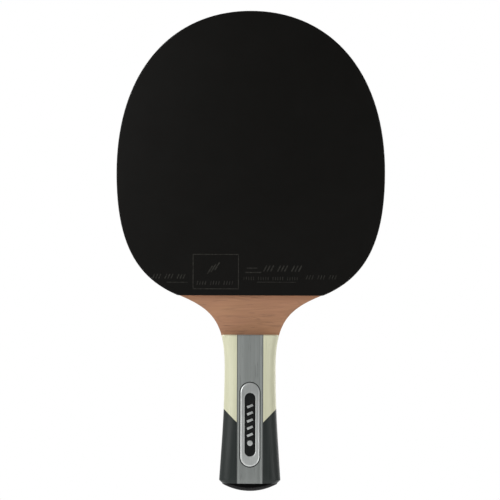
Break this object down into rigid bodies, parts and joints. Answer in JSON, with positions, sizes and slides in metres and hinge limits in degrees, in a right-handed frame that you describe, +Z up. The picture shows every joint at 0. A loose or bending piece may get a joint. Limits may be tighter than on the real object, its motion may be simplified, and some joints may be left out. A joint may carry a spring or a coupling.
{
  "type": "table tennis paddle",
  "caption": "Shakehand table tennis paddle: round plywood blade with sponge-backed black and red rubbers, edge tape and a flared inlaid handle with a badge and end cap.",
  "frame": {"origin": "centre of the grip: inside the handle on the blade's middle plane, 45 mm above the butt end", "axes": "+Z up the handle to the top of the head, -Y out of the front (black, badge) side, +X to the right of someone facing the front"},
  "size_m": [0.15, 0.0251, 0.2683],
  "materials": {
    "core_ply": "bare end grain",
    "cross_ply": "bare end grain",
    "face_veneer": "satin lacquer",
    "sponge": "matte foam",
    "black_rubber": "satin",
    "red_rubber": "satin",
    "edge_tape": "matte woven",
    "grey_wood": "dyed, satin lacquer",
    "dark_wood": "dyed, satin lacquer",
    "cream_wood": "dyed, satin lacquer",
    "charcoal_wood": "dyed, satin lacquer",
    "cap": "gloss",
    "bezel": "polished",
    "insert": "gloss",
    "stripes": "satin"
  },
  "bodies": {
    "root": {"badge_bezel": "bezel", "badge_insert": "insert", "badge_stripes": "stripes", "core_ply": "core_ply", "edge_tape": "edge_tape", "end_cap": "cap", "front_centre_band": "grey_wood", "front_cross_ply": "cross_ply", "front_face_veneer": "face_veneer", "front_left_edge_band": "grey_wood", "front_left_lower_cheek": "charcoal_wood", "front_left_pinstripe": "dark_wood", "front_left_upper_cheek": "cream_wood", "front_right_edge_band": "grey_wood", "front_right_lower_cheek": "charcoal_wood", "front_right_pinstripe": "dark_wood", "front_right_upper_cheek": "cream_wood", "front_rubber": "black_rubber", "front_sponge": "sponge", "rear_centre_band": "grey_wood", "rear_cross_ply": "cross_ply", "rear_face_veneer": "face_veneer", "rear_left_edge_band": "grey_wood", "rear_left_lower_cheek": "charcoal_wood", "rear_left_pinstripe": "dark_wood", "rear_left_upper_cheek": "cream_wood", "rear_right_edge_band": "grey_wood", "rear_right_lower_cheek": "charcoal_wood", "rear_right_pinstripe": "dark_wood", "rear_right_upper_cheek": "cream_wood", "rear_rubber": "red_rubber", "rear_sponge": "sponge"}
  },
  "joints": []
}
